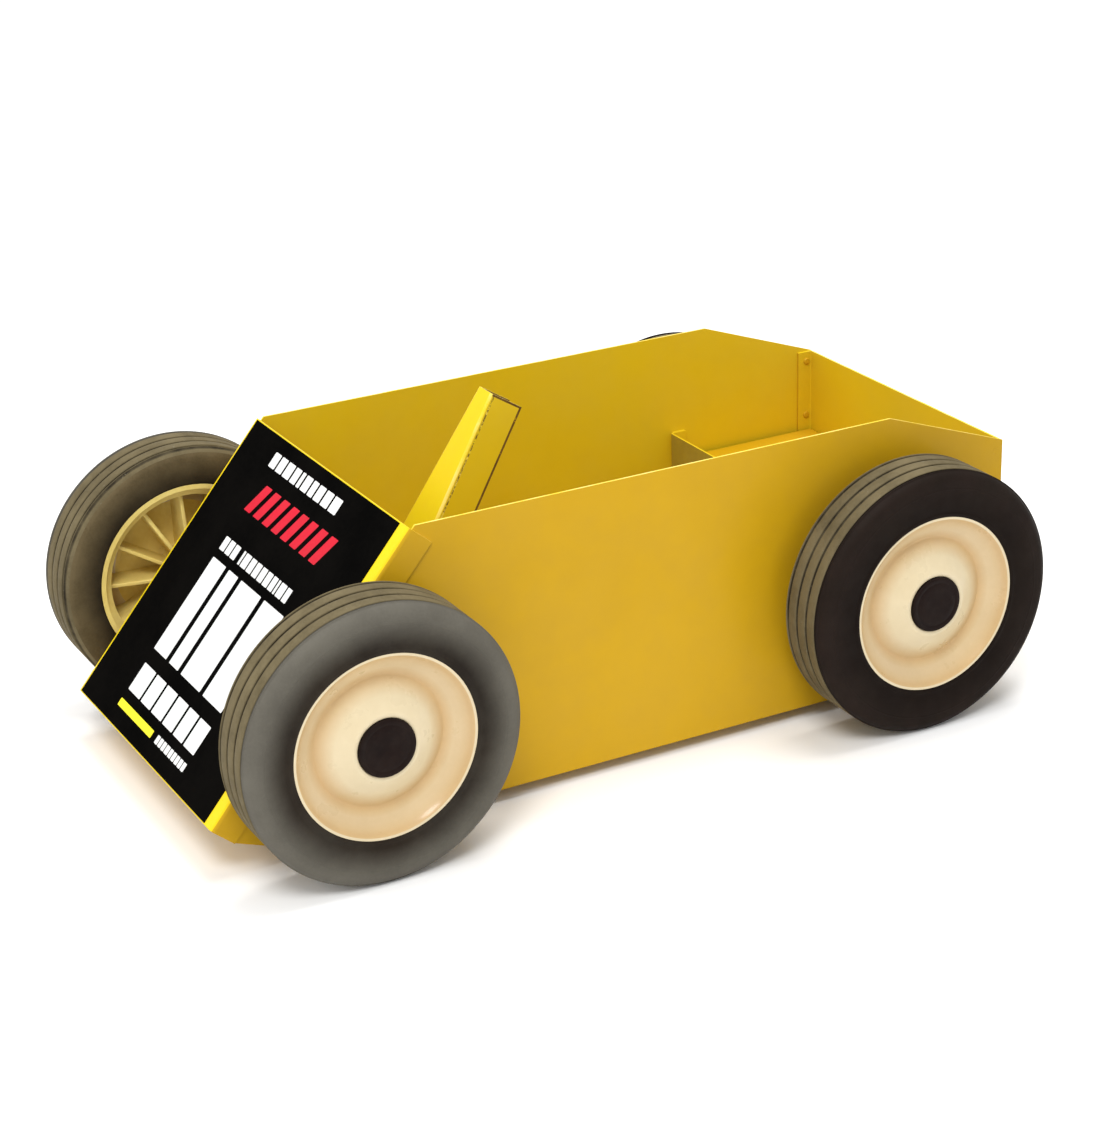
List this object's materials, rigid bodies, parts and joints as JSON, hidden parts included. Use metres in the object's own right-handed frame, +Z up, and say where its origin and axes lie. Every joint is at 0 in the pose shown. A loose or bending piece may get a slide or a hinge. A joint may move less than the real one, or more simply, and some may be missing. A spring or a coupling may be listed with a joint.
{
  "type": "line striping machine",
  "caption": "Push-along line striping machine: an open sheet steel box on wheels with a load bay, a leaning handle channel and a rear bay that holds and triggers an inverted marking can.",
  "frame": {"origin": "on the ground under the middle of the machine (bounding box bottom centre)", "axes": "+Z up; the leaning front plate faces -Y; +X is the operator's left"},
  "size_m": [0.3988, 0.654, 0.2596],
  "materials": {
    "painted_sheet": "gloss mustard yellow paint",
    "label_print": "printed vinyl",
    "zinc_steel": "zinc plated",
    "tyre_rubber": "moulded rubber",
    "cream_plastic": "moulded, glossy",
    "bushing_plastic": "natural nylon",
    "black_plastic": "moulded, satin"
  },
  "bodies": {
    "chassis": {"side_panel_left": "painted_sheet", "side_panel_right": "painted_sheet", "front_plate": "painted_sheet", "front_label": "label_print", "back_panel": "painted_sheet", "partition": "painted_sheet", "floor_pan": "painted_sheet", "handle_channel": "painted_sheet", "handle_base_plate": "painted_sheet", "front_axle": "zinc_steel", "rear_axle": "zinc_steel", "axle_spacers": "zinc_steel", "axle_washers": "zinc_steel", "push_nuts": "zinc_steel", "can_shelf": "painted_sheet", "can_collar": "zinc_steel", "lever_bracket": "zinc_steel", "lever_pin": "zinc_steel", "pin_clip": "zinc_steel", "lever_spring": "zinc_steel", "back_panel_rivets": "painted_sheet", "partition_rivets": "painted_sheet", "shelf_rivets": "zinc_steel", "collar_rivets": "zinc_steel", "base_rivets": "zinc_steel", "bracket_rivets": "zinc_steel"},
    "lever": {"spray_lever": "zinc_steel"},
    "wheel_front_left": {"tyre_front_left": "tyre_rubber", "hub_front_left": "cream_plastic", "bushing_front_left": "bushing_plastic", "axle_cap_front_left": "black_plastic"},
    "wheel_front_right": {"tyre_front_right": "tyre_rubber", "hub_front_right": "cream_plastic", "bushing_front_right": "bushing_plastic", "axle_cap_front_right": "black_plastic"},
    "wheel_rear_left": {"tyre_rear_left": "tyre_rubber", "hub_rear_left": "cream_plastic", "bushing_rear_left": "bushing_plastic", "axle_cap_rear_left": "black_plastic"},
    "wheel_rear_right": {"tyre_rear_right": "tyre_rubber", "hub_rear_right": "cream_plastic", "bushing_rear_right": "bushing_plastic", "axle_cap_rear_right": "black_plastic"}
  },
  "joints": [
    {"name": "wheel_front_left_spin", "type": "hinge", "parent": "chassis", "child": "wheel_front_left", "pos_m": [0.1738, -0.2231, 0.1016], "axis": [1, 0, 0], "continuous": true},
    {"name": "wheel_front_right_spin", "type": "hinge", "parent": "chassis", "child": "wheel_front_right", "pos_m": [-0.1738, -0.2231, 0.1016], "axis": [1, 0, 0], "continuous": true},
    {"name": "wheel_rear_left_spin", "type": "hinge", "parent": "chassis", "child": "wheel_rear_left", "pos_m": [0.1738, 0.21901, 0.1016], "axis": [1, 0, 0], "continuous": true},
    {"name": "wheel_rear_right_spin", "type": "hinge", "parent": "chassis", "child": "wheel_rear_right", "pos_m": [-0.1738, 0.21901, 0.1016], "axis": [1, 0, 0], "continuous": true},
    {"name": "spray_lever_pull", "type": "hinge", "parent": "chassis", "child": "lever", "pos_m": [0, 0.20401, 0.076], "axis": [1, 0, 0], "range_deg": [0, 12], "stiffness_Nm_per_rad": 0.15, "springref_deg": -17.19, "deforming": ["lever_spring"]}
  ]
}
